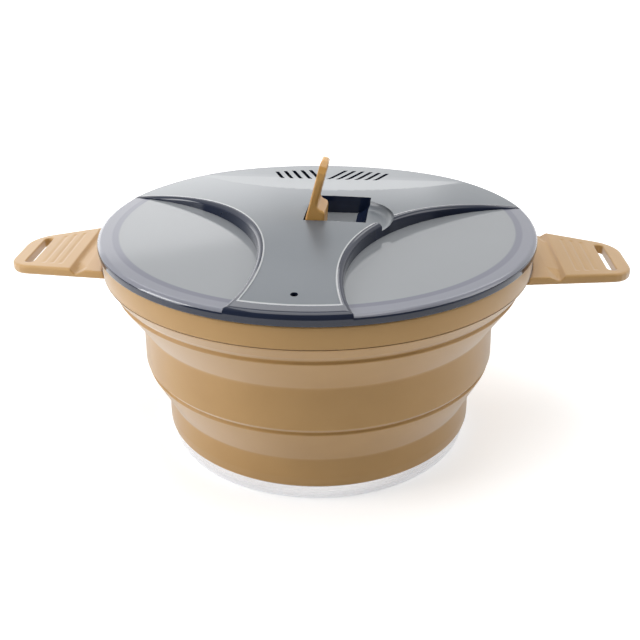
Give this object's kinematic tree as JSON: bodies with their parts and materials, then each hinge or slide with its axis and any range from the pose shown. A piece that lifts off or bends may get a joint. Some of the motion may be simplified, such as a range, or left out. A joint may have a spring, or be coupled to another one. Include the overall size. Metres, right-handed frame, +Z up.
{
  "type": "collapsible cooking pot",
  "caption": "Collapsible silicone cooking pot: aluminium base, bands that push down at two folds, flat side grips, and a smoky strainer lid with a fold-down lifting tab.",
  "frame": {"origin": "centre of the flat ring that the pot stands on", "axes": "+Z up through the lid, +X through the right grip, -Y towards the vent and the picture's camera"},
  "size_m": [0.266, 0.1858, 0.1268],
  "materials": {
    "aluminium": "bright, finely turned",
    "silicone": "matt tan silicone",
    "steel": "plain strip and wire",
    "smoke_plastic": "smoky clear, satin on the raised band",
    "tab_plastic": "satin tan"
  },
  "bodies": {
    "base": {"base_pan": "aluminium", "lower_wall": "silicone", "lower_fold": "silicone"},
    "middle": {"middle_wall": "silicone", "upper_fold": "silicone"},
    "rim": {"upper_wall": "silicone", "rim_sleeve": "silicone", "rim_frame": "steel", "grip_left": "silicone", "grip_right": "silicone"},
    "lid": {"lid_shell": "smoke_plastic", "tab_pin": "steel"},
    "tab": {"lid_tab": "tab_plastic"}
  },
  "joints": [
    {"name": "lower_fold_slide", "type": "slide", "parent": "base", "child": "middle", "axis": [0, 0, -1], "range_m": [0, 0.033], "deforming": ["lower_fold"]},
    {"name": "upper_fold_slide", "type": "slide", "parent": "middle", "child": "rim", "axis": [0, 0, -1], "range_m": [0, 0.031], "deforming": ["upper_fold"]},
    {"name": "lid_lift", "type": "slide", "parent": "rim", "child": "lid", "axis": [0, 0, 1], "range_m": [0, 0.06]},
    {"name": "tab_flip", "type": "hinge", "parent": "lid", "child": "tab", "pos_m": [0.00017, -0.00772, 0.0982], "axis": [0.0558, 0.9984, 0], "range_deg": [0, 74]}
  ]
}
